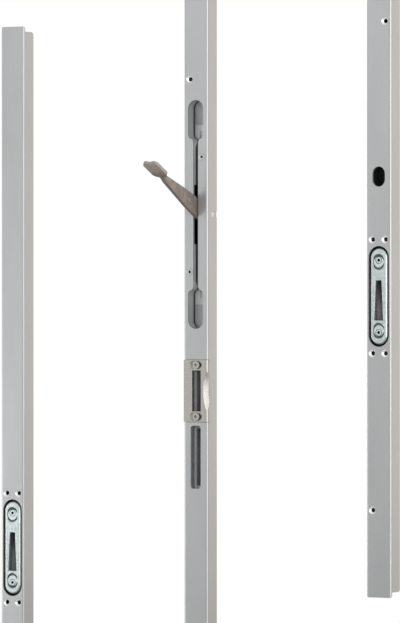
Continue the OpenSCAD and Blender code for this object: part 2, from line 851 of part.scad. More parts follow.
// Flat plate that ties two lengths together across the joint at z
module joint_plate(z) {
    difference() {
        slab(-joint_half, joint_half, seat_y, seat_y + joint_t, z - joint_hold, z + joint_hold);
        for (x = [-1, 1], end = [-1, 1])
            pin_y(x * joint_screw_x, z + end * joint_screw_z, 0, channel_d, screw_r);
    }
}

module upper_joint_plate() {
    color(zinc) joint_plate(centre_up);
}

module lower_joint_plate() {
    color(zinc) joint_plate(-centre_down);
}

module joint_screws() {
    color(bright) for (x = [-1, 1]) {
        sunk_screw(x * joint_screw_x, centre_up - joint_screw_z, seat_y + joint_t);
        sunk_screw(x * joint_screw_x, -centre_down + joint_screw_z, seat_y + joint_t);
    }
}

// Plastic guide that holds a rod in the back of the channel
module rod_guide(z) {
    difference() {
        slab(-block, block, seat_y, guide_back, z - guide_l / 2, z + guide_l / 2);
        slab(-rod_half - run_gap, rod_half + run_gap, rod_y0 - slide_gap, rod_y1 + slide_gap,
             z - guide_l, z + guide_l);
    }
}

module centre_rod_guides() {
    color(black) for (z = centre_guides) rod_guide(z);
}

// Hook keep: black housing in the channel
module keep_housing(z) {
    hook_z = z - hook_shift;
    pocket_h = hook_h + 2 * hook_pocket_room;
    sleeve = hook_pocket_half + housing_wall;
    difference() {
        union() {
            slab(-block, block, seat_y, block_back, z - housing_half, z + housing_half);
            slab(-sleeve, sleeve, seat_y, box_back,
                 hook_z - pocket_h / 2 - housing_wall, hook_z + pocket_h / 2 + housing_wall);
        }
        translate([0, 0, z]) face_extrude(0, ledge_y) obround_2d(keep_pocket_w, keep_pocket_h);
        slab(-hook_pocket_half, hook_pocket_half, 0, box_back - housing_wall,
             hook_z - pocket_h / 2, hook_z + pocket_h / 2);
        for (end = [-1, 1]) {
            pin_y(0, z + end * adjuster_reach, 0, stud_end + run_gap, stud_r + fit_gap);
            for (x = [-1, 1])
                pin_y(x * keep_screw_x / 2, z + end * keep_screw_z / 2, 0, channel_d, screw_r);
        }
    }
}

// Obround plate with a bevelled front edge
module bevel_obround(w, h, y0, y1, bevel) {
    half = w / 2;
    translate([0, 0, -(h - w) / 2]) linear_extrude(h - w)
        polygon([[-half, y1], [half, y1], [half, y0 + bevel],
                 [half - bevel, y0], [bevel - half, y0], [-half, y0 + bevel]]);
    for (end = [-1, 1]) translate([0, y0, end * (h - w) / 2]) rotate([-90, 0, 0]) {
        cylinder(h = bevel, r1 = half - bevel, r2 = half);
        translate([0, 0, bevel]) cylinder(h = y1 - y0 - bevel, r = half);
    }
}

// Hook keep: zinc plate with the tapered hook slot
module keep_plate(z) {
    recess = adjuster_d + 2 * adjuster_gap;
    slack = 2 * eccentric;
    top = hook_h / 2 - hook_shift;
    low = -hook_h / 2 - hook_shift;
    translate([0, 0, z]) difference() {
        bevel_obround(keep_w, keep_h, plate_y0, plate_y1, keep_bevel);
        face_extrude(plate_y0 - cut, plate_y1 + cut)
            polygon([[-hook_w_top / 2, top], [hook_w_top / 2, top],
                     [hook_w_bottom / 2, low], [-hook_w_bottom / 2, low]]);
        for (end = [-1, 1]) {
            translate([0, 0, end * (adjuster_reach - eccentric)])
                face_extrude(plate_y0 - cut, disc_y1 + seat_gap) obround_2d(recess, recess + slack);
            pin_y(0, end * adjuster_reach, 0, plate_y1 + cut, stud_r + keep_shift + run_gap);
        }
    }
}

// Eccentric adjuster; end is +1 for the upper one of a keep
module keep_adjuster(z, end) {
    axis_z = z + end * adjuster_reach;
    bevel = adjuster_bevel;
    difference() {
        union() {
            translate([0, disc_y0, axis_z - end * eccentric]) rotate([-90, 0, 0]) {
                cylinder(h = bevel, r1 = adjuster_r - bevel, r2 = adjuster_r);
                translate([0, 0, bevel]) cylinder(h = disc_y1 - disc_y0 - bevel, r = adjuster_r);
            }
            pin_y(0, axis_z, disc_y0, stud_end, stud_r);
        }
        translate([0, disc_y0 - cut, axis_z]) rotate([-90, 0, 0]) {
            cylinder(h = cut + adjuster_socket_depth, r = socket_r, $fn = 6);
            difference() {
                cylinder(h = cut + adjuster_ring_w, r = adjuster_ring_r);
                cylinder(h = 2 * cut + adjuster_ring_w, r = adjuster_ring_r - adjuster_ring_w);
            }
        }
    }
}

// Cuts in a channel for the keep at z
module keep_cuts(z) {
    translate([0, 0, z]) face_extrude(-cut, sheet_t + cut) obround_2d(keep_cut_w, keep_cut_h);
    for (x = [-1, 1], end = [-1, 1]) face_hole(x * keep_screw_x / 2, z + end * keep_screw_z / 2);
}

// Cuts in a rod for the keep at z
module keep_rod_cuts(z, up, down) {
    hook_z = z - hook_shift;
    reach = hook_h / 2 + hook_pocket_room + housing_wall;
    rod_window(hook_z - reach, hook_z + reach, up, down);
    for (x = [-1, 1], end = [-1, 1]) rod_notch(x, keep_screw_x / 2, z + end * keep_screw_z / 2, up, down);
}

// Shoot bolt whose tip is at the origin, upward; a flat at its foot seats on the rod
module shoot_bolt() {
    bevel = 1.2;
    difference() {
        translate([0, bolt_y, 0]) {
            translate([0, 0, -bolt_len]) cylinder(h = bolt_len - bevel, r = bolt_r);
            translate([0, 0, -bevel]) cylinder(h = bevel, r1 = bolt_r, r2 = bolt_r - bevel);
        }
        slab(-channel_w, channel_w, rod_y0, channel_d, -bolt_len - cut, bolt_tip - rod_head + run_gap);
        for (z = bolt_rivet_places) pin_y(0, bolt_tip + z, bolt_y - 1, channel_d, rivet_r + fit_gap / 2);
    }
}

// Bolt rivets, measured from the finished end
module bolt_rivets() {
    for (z = bolt_rivet_places) pin_y(0, z, bolt_y - 1 + fit_gap, rod_y1, rivet_r);
}

module bolt_rivet_holes() {
    for (z = bolt_rivet_places) pin_y(0, z, rod_y0 - cut, rod_y1 + cut, rivet_r + fit_gap / 2);
}

// Guide block for a shoot bolt, measured down from the finished end
module bolt_guide() {
    difference() {
        slab(-block, block, seat_y, rod_y1, -bolt_guide_back - bolt_guide_l, -bolt_guide_back);
        translate([0, bolt_y, -channel_w - bolt_guide_back - bolt_guide_l])
            cylinder(h = bolt_guide_l + 2 * channel_w, r = bolt_r + fit_gap);
    }
}

// Everything of the top channel stands here
module at_top(z = 0) {
    translate([top_x, 0, z]) children();
}

// Everything of the bottom channel stands here
module at_bottom(z = 0) {
    translate([bottom_x, 0, z]) children();
}

module top_channel() {
    color(steel) at_top() difference() {
        channel_bar(top_low_z, top_end_z);
        translate([0, 0, top_end_z]) end_trim();
        keep_cuts(top_keep_z);
        joint_holes(top_low_z, 1);
    }
}

module top_drive_rod() {
    end_z = top_low_z + rod_end_gap - tie_h;
    color(bright) at_top() difference() {
        rod_bar(end_z, top_end_z - rod_head);
        keep_rod_cuts(top_keep_z, throw, pull);
        translate([0, 0, top_end_z]) bolt_rivet_holes();
        rod_tie(end_z, 1, false);
    }
}

module top_shoot_bolt() {
    color(bright) at_top(top_end_z - bolt_tip) shoot_bolt();
}

module top_bolt_rivets() {
    color(zinc) at_top(top_end_z) bolt_rivets();
}

module top_bolt_guide() {
    color(black) at_top(top_end_z) bolt_guide();
}

module top_rod_guides() {
    color(black) at_top() for (z = top_guides) rod_guide(z);
}

module top_keep_housing() {
    color(black) at_top() keep_housing(top_keep_z);
}

module top_keep_plate() {
    color(zinc) at_top() keep_plate(top_keep_z);
}

module top_keep_adjuster_upper() {
    color(zinc) at_top() keep_adjuster(top_keep_z, 1);
}

module top_keep_adjuster_lower() {
    color(zinc) at_top() keep_adjuster(top_keep_z, -1);
}

module bottom_channel() {
    color(steel) at_bottom() difference() {
        channel_bar(bottom_end_z, bottom_high_z);
        translate([0, 0, bottom_end_z]) flip_z(true) end_trim();
        keep_cuts(bottom_keep_z);
        face_hole(-face_screw_x, low_screw_z);
        face_hole(face_screw_x, high_screw_z);
        translate([0, 0, oval_z]) face_extrude(-cut, sheet_t + cut) obround_2d(oval_w, oval_h);
        joint_holes(bottom_high_z, -1);
    }
}

module bottom_drive_rod() {
    end_z = bottom_high_z - rod_end_gap + tie_h;
    color(bright) at_bottom() difference() {
        rod_bar(bottom_end_z + rod_head, end_z);
        keep_rod_cuts(bottom_keep_z, pull, throw);
        rod_notch(-1, face_screw_x, low_screw_z, pull, throw);
        rod_notch(1, face_screw_x, high_screw_z, pull, throw);
        translate([0, 0, bottom_end_z]) flip_z(true) bolt_rivet_holes();
        rod_tie(end_z, -1, false);
    }
}

module bottom_shoot_bolt() {
    color(bright) at_bottom(bottom_end_z + bolt_tip) flip_z(true) shoot_bolt();
}

module bottom_bolt_rivets() {
    color(zinc) at_bottom(bottom_end_z) flip_z(true) bolt_rivets();
}

module bottom_bolt_guide() {
    color(black) at_bottom(bottom_end_z) flip_z(true) bolt_guide();
}

module bottom_rod_guides() {
    color(black) at_bottom() for (z = bottom_guides) rod_guide(z);
}

module bottom_keep_housing() {
    color(black) at_bottom() keep_housing(bottom_keep_z);
}

module bottom_keep_plate() {
    color(zinc) at_bottom() keep_plate(bottom_keep_z);
}

module bottom_keep_adjuster_upper() {
    color(zinc) at_bottom() keep_adjuster(bottom_keep_z, 1);
}

module bottom_keep_adjuster_lower() {
    color(zinc) at_bottom() keep_adjuster(bottom_keep_z, -1);
}

// Blind cup behind the oval hole
module oval_pocket() {
    wall = 1.5;
    color(black) at_bottom(oval_z) difference() {
        slab(-oval_w / 2 - wall, oval_w / 2 + wall, seat_y, block_back,
             -oval_h / 2 - wall, oval_h / 2 + wall);
        face_extrude(0, block_back - wall) obround_2d(oval_w, oval_h);
    }
}

centre_channel();
gear_case_left();
gear_case_right();
gear_case_screws();
lever();
lever_pinion();
lever_axle();
upper_rack();
upper_rod();
upper_rod_rivet();
lower_rack();
lower_rod();
lower_rod_rivet();
upper_finger_recess();
lower_finger_recess();
strike_carrier();
latch_strike();
latch_strike_screws();
latch_box();
bolt_box();
upper_joint_plate();
lower_joint_plate();
joint_screws();
centre_rod_guides();
top_channel();
top_drive_rod();
top_shoot_bolt();
top_bolt_rivets();
top_bolt_guide();
top_rod_guides();
top_keep_housing();
top_keep_plate();
top_keep_adjuster_upper();
top_keep_adjuster_lower();
bottom_channel();
bottom_drive_rod();
bottom_shoot_bolt();
bottom_bolt_rivets();
bottom_bolt_guide();
bottom_rod_guides();
bottom_keep_housing();
bottom_keep_plate();
bottom_keep_adjuster_upper();
bottom_keep_adjuster_lower();
oval_pocket();
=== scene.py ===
# %% [markdown]
# # A lever-driven door lock in three channel lengths
# The lock belongs to the leaf of a double door that stays shut most of the time. Folding the
# lever up or down turns a pinion, which pushes one shoot bolt up and the other one down. The
# packed CAD model gives every shape its true size, so this script loads it and never moves it.
# Blender adds what CAD leaves out: finishes, softened edges, light and a camera.

import json
import math

import bpy
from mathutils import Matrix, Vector


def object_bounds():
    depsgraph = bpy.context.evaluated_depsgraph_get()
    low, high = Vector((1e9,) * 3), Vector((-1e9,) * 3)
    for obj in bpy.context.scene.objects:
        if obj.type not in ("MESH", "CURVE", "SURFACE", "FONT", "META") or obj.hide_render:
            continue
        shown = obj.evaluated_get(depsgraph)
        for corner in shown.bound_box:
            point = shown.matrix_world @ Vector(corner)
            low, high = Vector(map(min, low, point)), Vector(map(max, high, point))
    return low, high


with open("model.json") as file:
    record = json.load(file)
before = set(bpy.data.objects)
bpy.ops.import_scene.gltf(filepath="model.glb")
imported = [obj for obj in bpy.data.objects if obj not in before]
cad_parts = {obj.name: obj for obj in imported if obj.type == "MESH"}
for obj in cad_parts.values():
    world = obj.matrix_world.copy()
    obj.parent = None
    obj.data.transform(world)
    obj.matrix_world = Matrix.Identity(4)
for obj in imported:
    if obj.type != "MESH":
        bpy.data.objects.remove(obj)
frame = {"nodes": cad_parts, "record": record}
cad_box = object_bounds()
nodes = frame["nodes"]
print("loaded", len(nodes), "pieces, height", round(cad_box[1].z - cad_box[0].z, 4), "m")

# %% [markdown]
# The picture was taken from the right, level with the lock and from far away: the upright
# edges stay parallel and the three faces look equally wide. A long lens at 4.5 m gives that.
# The camera slides sideways and down, without turning, until the lever's axle falls on the
# same pixel as in the picture, so no lens shift is needed.

# %% Camera
PHOTO_W, PHOTO_H = 400, 623
AXLE_PX_X, AXLE_PX_Y = 195.65, 214.4
VIEW_TURN = math.radians(31)
VIEW_DISTANCE = 4.5
FOCAL_PX = 5229
SENSOR_MM = 36

to_camera = Vector((math.sin(VIEW_TURN), -math.cos(VIEW_TURN), 0))
to_right = Vector((math.cos(VIEW_TURN), math.sin(VIEW_TURN), 0))
up = Vector((0, 0, 1))
px_per_m = FOCAL_PX / VIEW_DISTANCE
slide_right = (PHOTO_W / 2 - AXLE_PX_X) / px_per_m
slide_up = (AXLE_PX_Y - PHOTO_H / 2) / px_per_m

camera = bpy.data.objects.new("camera", bpy.data.cameras.new("camera"))
bpy.context.scene.collection.objects.link(camera)
bpy.context.scene.camera = camera
camera.location = to_camera * VIEW_DISTANCE + to_right * slide_right + up * slide_up
camera.rotation_mode = "QUATERNION"
camera.rotation_quaternion = (-to_camera).to_track_quat("-Z", "Y")
camera.data.sensor_width = SENSOR_MM
camera.data.lens = FOCAL_PX / PHOTO_H * SENSOR_MM
print("camera lens", round(camera.data.lens, 1), "mm at", [round(v, 3) for v in camera.location])

# %% [markdown]
# Light and finishes are small webs of nodes. Wiring them one by one hides the idea, so two
# helpers do it. `Wire` stands for one output socket, and its arithmetic adds Math nodes. `Web`
# holds a node tree and has one method that adds any other node, settings first and sockets after.

# %% Wires and webs
class Wire:
    """An output socket of a web, with the arithmetic that the recipes use."""

    def __init__(self, web, socket):
        self.web = web
        self.socket = socket

    def maths(self, operation, first, second=0.0):
        return self.web.node("Math", {"operation": operation}, {0: first, 1: second})

    def __abs__(self):
        return self.maths("ABSOLUTE", self)

    def __add__(self, other):
        return self.maths("ADD", self, other)

    def __radd__(self, other):
        return self.maths("ADD", other, self)

    def __sub__(self, other):
        return self.maths("SUBTRACT", self, other)

    def __rsub__(self, other):
        return self.maths("SUBTRACT", other, self)

    def __mul__(self, other):
        return self.maths("MULTIPLY", self, other)

    def __rmul__(self, other):
        return self.maths("MULTIPLY", other, self)


class Web:
    """A node tree that grows by one node with each call."""

    def __init__(self, tree):
        self.tree = tree

    def node(self, kind, settings=None, sockets=None, output=0):
        made = self.tree.nodes.new("ShaderNode" + kind)
        for key, value in (settings or {}).items():
            setattr(made, key, value)
        for key, value in (sockets or {}).items():
            self.feed(made.inputs[key], value)
        return Wire(self, made.outputs[output])

    def feed(self, socket, value):
        if isinstance(value, Wire):
            self.tree.links.new(value.socket, socket)
        else:
            socket.default_value = value


print("helpers", Wire.__name__, "and", Web.__name__)

# %% [markdown]
# The background is white. A white world would also flood the metal with flat light, so the
# world has two strengths: full white for rays that show it, straight or mirrored, and a
# softer grey for the light that it sheds on the lock.

# %% World
WORLD_LIGHT = 0.35
WHITE = (1, 1, 1, 1)

scene = bpy.context.scene
scene.view_settings.view_transform = "Standard"
scene.world = bpy.data.worlds.new("white_studio")
scene.world.use_nodes = True
sky = Web(scene.world.node_tree)
shown = sky.node("LightPath", output="Is Camera Ray")
for ray in ("Is Glossy Ray", "Is Transmission Ray"):
    shown = shown.maths("MAXIMUM", shown, sky.node("LightPath", output=ray))
background = sky.tree.nodes["Background"]
sky.feed(background.inputs["Color"], WHITE)
sky.feed(background.inputs["Strength"], WORLD_LIGHT + (1 - WORLD_LIGHT) * shown)
print("world sheds", WORLD_LIGHT, "and shows 1")

# %% [markdown]
# Four soft lamps shape the bars. The faces mirror what stands at the front left, so a weak
# lamp there is enough for them, with another one low down for the foot of the left bar. The
# rounded corners and the left walls of the countersinks mirror the front right: a wide and
# strong lamp there draws their thin white lines. The narrow sides mirror what stands behind on
# the right, where a warm lamp tints them.

# %% Lamps
def soft_lamp(name, turn, distance, height, size, power, colour=(1, 1, 1)):
    """Area lamp standing round the lock at an angle from straight ahead, facing its middle."""
    data = bpy.data.lights.new(name, "AREA")
    data.shape = "RECTANGLE"
    data.size, data.size_y = size
    data.energy = power
    data.color = colour
    lamp = bpy.data.objects.new(name, data)
    lamp.visible_camera = False
    scene.collection.objects.link(lamp)
    angle = math.radians(turn)
    away = Vector((math.sin(angle), -math.cos(angle), 0))
    lamp.location = away * distance + up * height
    lamp.rotation_mode = "QUATERNION"
    lamp.rotation_quaternion = (-away).to_track_quat("-Z", "Y")
    return lamp


front_lamp = soft_lamp("front_lamp", turn=-27, distance=1.45, height=0.4, size=(0.3, 0.5), power=1.0)
corner_lamp = soft_lamp("corner_lamp", turn=59, distance=1.8, height=-0.08, size=(1.4, 1.9), power=17)
side_lamp = soft_lamp(
    "side_lamp", turn=149, distance=1.8, height=0, size=(0.9, 1.5), power=2.8, colour=(1, 0.73, 0.45)
)
foot_lamp = soft_lamp("foot_lamp", turn=-60, distance=1.2, height=-0.4, size=(0.5, 0.5), power=4.4)
print("lamps", [lamp.name for lamp in (front_lamp, corner_lamp, side_lamp, foot_lamp)])

# %% [markdown]
# A finish is a web that feeds the Principled shader of one material. Its methods give what the
# recipes below ask for: noise of a given size, a mix of two colours, where a point lies on its
# piece, which way the surface looks there, and a shallow relief. `step` turns a value into a
# mask, and `store` holds a finished material under its name until the pieces ask for it.

# %% Finishes
class Finish(Web):
    """A material whose Principled shader is fed by procedural nodes on the piece's own axes."""

    def __init__(self, name):
        self.name = name
        self.material = bpy.data.materials.new(name)
        self.material.use_nodes = True
        super().__init__(self.material.node_tree)
        self.shader = self.tree.nodes["Principled BSDF"]
        self.place = self.node("TexCoord", output="Object")

    def surface(self, **values):
        for key, value in values.items():
            label = key.replace("_", " ").title().replace("Ior", "IOR")
            self.feed(self.shader.inputs[label], value)

    def stretched(self, sizes):
        """The piece's axes, scaled so that one unit is the given length along each of them."""
        scale = [1 / size for size in sizes]
        return self.node("VectorMath", {"operation": "MULTIPLY"}, {0: self.place, 1: scale})

    def noise(self, sizes, detail=2.0, roughness=0.5):
        """Grey noise whose lumps have the given sizes in metres."""
        return self.node(
            "TexNoise", None,
            {"Vector": self.stretched(sizes), "Scale": 1.0, "Detail": detail, "Roughness": roughness},
            "Fac",
        )

    def blend(self, mask, first, second):
        """Mix of two colours, each a wire or three numbers."""
        first, second = [c if isinstance(c, Wire) else (*c, 1) for c in (first, second)]
        return self.node("Mix", {"data_type": "RGBA"}, {0: mask, 6: first, 7: second}, 2)

    def axis(self, letter, source=None):
        return self.node("SeparateXYZ", None, {0: source or self.place}, letter)

    def share(self, letter):
        """Where a point lies between the piece's two ends along one axis, from 0 to 1."""
        return self.axis(letter, self.node("TexCoord", output="Generated"))

    def facing(self, letter):
        """How far the surface looks along one axis of the scene, from -1 to 1."""
        return self.axis(letter, self.node("NewGeometry", output="True Normal"))

    def relief(self, height, depth, soft=None):
        """Bump from a height in units of depth, over edges that look rounded to the soft radius."""
        sockets = {"Height": height, "Distance": depth}
        if soft:
            sockets["Normal"] = self.node("Bevel", None, {"Radius": soft})
        return self.node("Bump", None, sockets, "Normal")


def step(wire, low, high):
    """A mask that rises smoothly from 0 at low to 1 at high."""
    return wire.web.node(
        "MapRange", {"interpolation_type": "SMOOTHSTEP"},
        {"Value": wire, "From Min": low, "From Max": high},
    )


finishes = {}


def store(finish):
    """Store a finish under its plain name, and tell how many nodes it took."""
    finishes[finish.name] = finish.material
    print("finish", finish.name, "with", len(finish.tree.nodes), "nodes")


print("a finish has", [name for name in vars(Finish) if not name.startswith("_")])

# %% [markdown]
# The channel is folded steel with a satin silver coat. Close up, the coat is a little cloudy
# and carries a very fine grain along the bar from the rolling of the sheet. Stretched noise
# gives the grain, broad noise the clouds, and both only nudge the colour and the gloss. The
# countersinks were cut through the coat, so they are bare and bright. The two bends get a pale
# painted highlight. Both lean halfway between front and side, and the bends lie at the edges.
# The inside is painted near black as painted shade, so the screw holes look black.

# %% Satin channel
LEAN_LOW, LEAN_HIGH, LEAN_FADE = 0.5, 0.85, 0.03
SINK_DEPTH = 0.0001
BEND_SHARE, BEND_FADE = 0.41, 0.005
INSIDE_SHARE, INSIDE_SHARE_FADE = 0.418, 0.01
INSIDE_DEPTH, INSIDE_DEPTH_FADE = 0.0019, 0.00005
ROLLED_GRAIN, COAT_CLOUD = (0.0004, 0.0004, 0.03), (0.03, 0.03, 0.09)
COAT_DARK, COAT_LIGHT = (0.42, 0.43, 0.434), (0.458, 0.468, 0.472)
# Bare metal of the countersinks, then the painted highlight on the bends.
BARE_SINK, BEND_PAINTED_HIGHLIGHT = (0.95, 0.95, 0.95), (0.6, 0.605, 0.61)
# Painted shade: the inside of the channel is painted near black.
INSIDE_PAINTED_SHADE = (0.008, 0.008, 0.009)
GRAIN_DEPTH = 0.00002


def satin_channel():
    coat = Finish("satin_channel")
    grain = coat.noise(ROLLED_GRAIN, 3)
    cloud = coat.noise(COAT_CLOUD, 3)
    tone = step(0.65 * cloud + 0.35 * grain, 0.3, 0.7)
    coated = coat.blend(tone, COAT_DARK, COAT_LIGHT)
    front = -1 * coat.facing("Y")
    leaning = step(front, LEAN_LOW, LEAN_LOW + LEAN_FADE)
    leaning = leaning * (1 - step(front, LEAN_HIGH, LEAN_HIGH + LEAN_FADE))
    depth = coat.axis("Y")
    sideways = abs(coat.share("X") - 0.5)
    # The bends get a painted highlight.
    at_bend = step(sideways, BEND_SHARE, BEND_SHARE + BEND_FADE)
    # Painted shade inside the channel, deeper than the coat.
    inside = step(depth, INSIDE_DEPTH, INSIDE_DEPTH + INSIDE_DEPTH_FADE)
    inside = inside * (1 - step(sideways, INSIDE_SHARE, INSIDE_SHARE + INSIDE_SHARE_FADE))
    # Bare countersinks and the painted bend highlight share this mask.
    bare_sink_and_bend_highlight = leaning * step(depth, 0, SINK_DEPTH)
    bright = coat.blend(at_bend, BARE_SINK, BEND_PAINTED_HIGHLIGHT)
    outside = coat.blend(bare_sink_and_bend_highlight, coated, bright)
    coat.surface(
        base_color=coat.blend(inside, outside, INSIDE_PAINTED_SHADE),
        metallic=0.55 - 0.55 * inside,
        roughness=0.33 + 0.1 * grain + 0.06 * cloud + 0.45 * inside,
        normal=coat.relief(grain, GRAIN_DEPTH),
    )
    return coat


store(satin_channel())

# %% [markdown]
# The lever is a bead-blasted casting, so it is dull and warm, with a fine pitted skin. Two sizes
# of noise make the pits. Fingers rub the paddle at its end, so the skin there is paler. How far
# a point lies from the axle is measured along the open lever, which stands out and up.

# %% Lever casting
LEVER_LIFT = math.radians(26.5)
PADDLE_FROM, PADDLE_TO = 0.066, 0.076
LEVER_EDGE, PIT_DEPTH = 0.0005, 0.00012
BLAST_PITS, CAST_LUMPS = (0.0005,) * 3, (0.004,) * 3
CAST_DARK, CAST_LIGHT = (0.245, 0.212, 0.192), (0.315, 0.28, 0.257)
PADDLE_DARK, PADDLE_LIGHT = (0.4, 0.345, 0.312), (0.47, 0.415, 0.38)


def lever_casting():
    skin = Finish("lever_casting")
    pits = skin.noise(BLAST_PITS, 2)
    lumps = skin.noise(CAST_LUMPS, 3)
    wear_and_painted_light = step(lumps, 0.45, 0.65)
    reach = math.sin(LEVER_LIFT) * skin.axis("Z") - math.cos(LEVER_LIFT) * skin.axis("Y")
    paddle = step(reach, PADDLE_FROM, PADDLE_TO)
    spots = 0.7 * wear_and_painted_light + 0.3 * pits
    cast = skin.blend(spots, CAST_DARK, CAST_LIGHT)
    pale = skin.blend(spots, PADDLE_DARK, PADDLE_LIGHT)
    skin.surface(
        base_color=skin.blend(paddle, cast, pale),
        metallic=0.6 - 0.2 * paddle,
        roughness=0.52 - 0.12 * wear_and_painted_light + 0.08 * pits,
        normal=skin.relief(0.7 * pits + 0.3 * lumps, PIT_DEPTH, LEVER_EDGE),
    )
    return skin


store(lever_casting())

# %% [markdown]
# The latch strike is stainless steel, brushed across the bar before it was bent. Its openings
# were milled later. The round ends of the two screw slots on the left, which look to the right,
# carry a painted highlight: pale and matt. They lie below the face and left of everything else that
# looks to the right.

# %% Stainless strike
STRIKE_EDGE, BRUSH_DEPTH = 0.00025, 0.00003
SLOT_TOP, SLOT_DEEP = 0.00005, 0.0002
SLOT_END, SLOT_FADE = -0.0042, 0.0003
BRUSH_LINES, STRIKE_CLOUD = (0.006, 0.006, 0.00025), (0.012, 0.012, 0.006)
BRUSH_DARK, BRUSH_LIGHT = (0.33, 0.325, 0.295), (0.45, 0.445, 0.41)
# The slot-end colour is a painted highlight.
SLOT_END_PAINTED_HIGHLIGHT = (0.98, 0.98, 0.96)


def stainless_strike():
    sheet = Finish("stainless_strike")
    lines = sheet.noise(BRUSH_LINES, 4, 0.6)
    cloud = sheet.noise(STRIKE_CLOUD, 2)
    # Painted highlight on the slot ends that look to the right, below the face.
    lit_slot_end = step(sheet.facing("X"), 0.3, 0.5) * step(sheet.axis("Y"), SLOT_TOP, SLOT_DEEP)
    lit_slot_end = lit_slot_end * (1 - step(sheet.axis("X"), SLOT_END, SLOT_END + SLOT_FADE))
    brushed = sheet.blend(0.6 * lines + 0.4 * cloud, BRUSH_DARK, BRUSH_LIGHT)
    sheet.surface(
        base_color=sheet.blend(lit_slot_end, brushed, SLOT_END_PAINTED_HIGHLIGHT),
        metallic=0.85 - 0.75 * lit_slot_end,
        roughness=0.2 + 0.18 * lines,
        normal=sheet.relief(lines, BRUSH_DEPTH, STRIKE_EDGE),
    )
    return sheet


store(stainless_strike())

# %% [markdown]
# The keep plates and their adjusters are zinc castings with a bright passivated coat. It is
# pale, slightly green and glossy, with soft mottling where the bath dried. The sunk seats that
# the adjusters turn in are darkened with painted shade: they look to the front and lie over 1 mm deep.

# %% Bright zinc keep
SEAT_TOP, SEAT_DEEP = 0.0009, 0.0012
BATH_MOTTLE, BATH_DUST, BATH_DEPTH = (0.003,) * 3, (0.0004,) * 3, 0.00004
ZINC_DARK, ZINC_LIGHT = (0.44, 0.5, 0.496), (0.56, 0.614, 0.61)
# Painted shade in the sunk seats.
SEAT_PAINTED_SHADE = (0.16, 0.165, 0.165)


def zinc_keep():
    coat = Finish("zinc_keep")
    mottle = coat.noise(BATH_MOTTLE, 4)
    dust = coat.noise(BATH_DUST, 1)
    # Painted shade on the sunk seats, by depth and facing.
    seat = step(coat.axis("Y"), SEAT_TOP, SEAT_DEEP) * step(-1 * coat.facing("Y"), 0.7, 0.9)
    unshaded = coat.blend(step(mottle, 0.35, 0.68), ZINC_DARK, ZINC_LIGHT)
    coat.surface(
        base_color=coat.blend(seat, unshaded, SEAT_PAINTED_SHADE),
        metallic=0.75 - 0.5 * seat,
        roughness=0.2 + 0.14 * mottle + 0.04 * dust,
        normal=coat.relief(0.6 * mottle + 0.4 * dust, BATH_DEPTH),
    )
    return coat


store(zinc_keep())

# %% [markdown]
# The strike's carrier is a raw die casting. It is darker than the keeps, with a faint flow
# pattern from the molten metal. A painted highlight runs down the lip inside the slot as a thin
# upright line. The gear case is the same casting, painted black on the inside as painted shade.

# %% Die castings
LIP_X, LIP_HALF, LIP_DEPTH = -0.0038, 0.0003, 0.0066
CASE_INSIDE, CASE_OUTSIDE = 0.0084, 0.0092
FLOW_LINES, FLOW_DEPTH = (0.002, 0.006, 0.006), 0.00003
RAW_DULL, RAW_BRIGHT = (0.33, 0.345, 0.35), (0.43, 0.445, 0.45)
# The lip colour is a painted highlight, the case colour painted shade.
LIP_PAINTED_HIGHLIGHT, CASE_PAINTED_SHADE = (0.72, 0.72, 0.72), (0.012, 0.012, 0.012)


def zinc_casting():
    cast = Finish("zinc_casting")
    flow = cast.noise(FLOW_LINES, 4)
    at_lip = 1 - step(abs(cast.axis("X") - LIP_X), LIP_HALF, 2 * LIP_HALF)
    # Painted highlight: a thin upright line on the lip.
    lip_highlight = at_lip * step(cast.axis("Y"), LIP_DEPTH, LIP_DEPTH + LIP_HALF)
    raw = cast.blend(step(flow, 0.3, 0.7), RAW_DULL, RAW_BRIGHT)
    cast.surface(
        base_color=cast.blend(lip_highlight, raw, LIP_PAINTED_HIGHLIGHT),
        metallic=0.7 - 0.7 * lip_highlight,
        roughness=0.34 + 0.12 * flow,
        normal=cast.relief(flow, FLOW_DEPTH),
    )
    return cast


def casting_painted_shade_inside():
    cast = Finish("casting_painted_shade_inside")
    flow = cast.noise(FLOW_LINES, 4)
    # Painted shade: the inside of the case is near black.
    outside = step(abs(cast.axis("X")), CASE_INSIDE, CASE_OUTSIDE)
    raw = cast.blend(step(flow, 0.3, 0.7), RAW_DULL, RAW_BRIGHT)
    cast.surface(
        base_color=cast.blend(outside, CASE_PAINTED_SHADE, raw),
        metallic=0.7 * outside,
        roughness=0.34 + 0.12 * flow,
        specular_ior_level=0.15,
    )
    return cast


store(zinc_casting())
store(casting_painted_shade_inside())

# %% [markdown]
# The finger recesses come from the same casting shop, but they are seen and touched, so they
# are tumbled until they shine. The walls carry painted shade that darkens them towards the
# floor. The floor has a fold across it: the side by the neck is lifted to nearly white with
# painted light, and the far side carries painted shade, darkest on the right.

# %% Recess with painted light and shade
WALL_FADE = 0.0028
# Depths where the painted shade on the walls begins.
TROUGH_SHADE_FROM, POCKET_SHADE_FROM = 0.0026, 0.0078
GROOVE_TOP, GROOVE_FADE = 0.0118, 0.0001
TROUGH_END, POCKET_START = 0.058, 0.066
FLOOR_FOLD, FOLD_FADE = 0.077, 0.0008
# Painted shade on the far side of the floor fades in towards the right.
FAR_SHADE_FROM_X, FAR_SHADE_TO_X = 0.0, 0.0065
TUMBLE_HAZE, HAZE_DEPTH = (0.006, 0.006, 0.012), 0.00002
# The first colour is pale metal lifted to near white as painted light.
PALE_METAL_AND_PAINTED_LIGHT, POCKET_WALL_TONE = (0.96, 0.97, 0.97), (0.5, 0.507, 0.51)
# Painted shade on the far side of the floor.
FAR_SHADE_LEFT, FAR_SHADE_RIGHT = (0.62, 0.63, 0.635), (0.1, 0.102, 0.105)
# The second colour is painted shade on the walls.
HAZE_GREY, DEEP_PAINTED_SHADE = (0.6, 0.61, 0.61), (0.008, 0.008, 0.008)


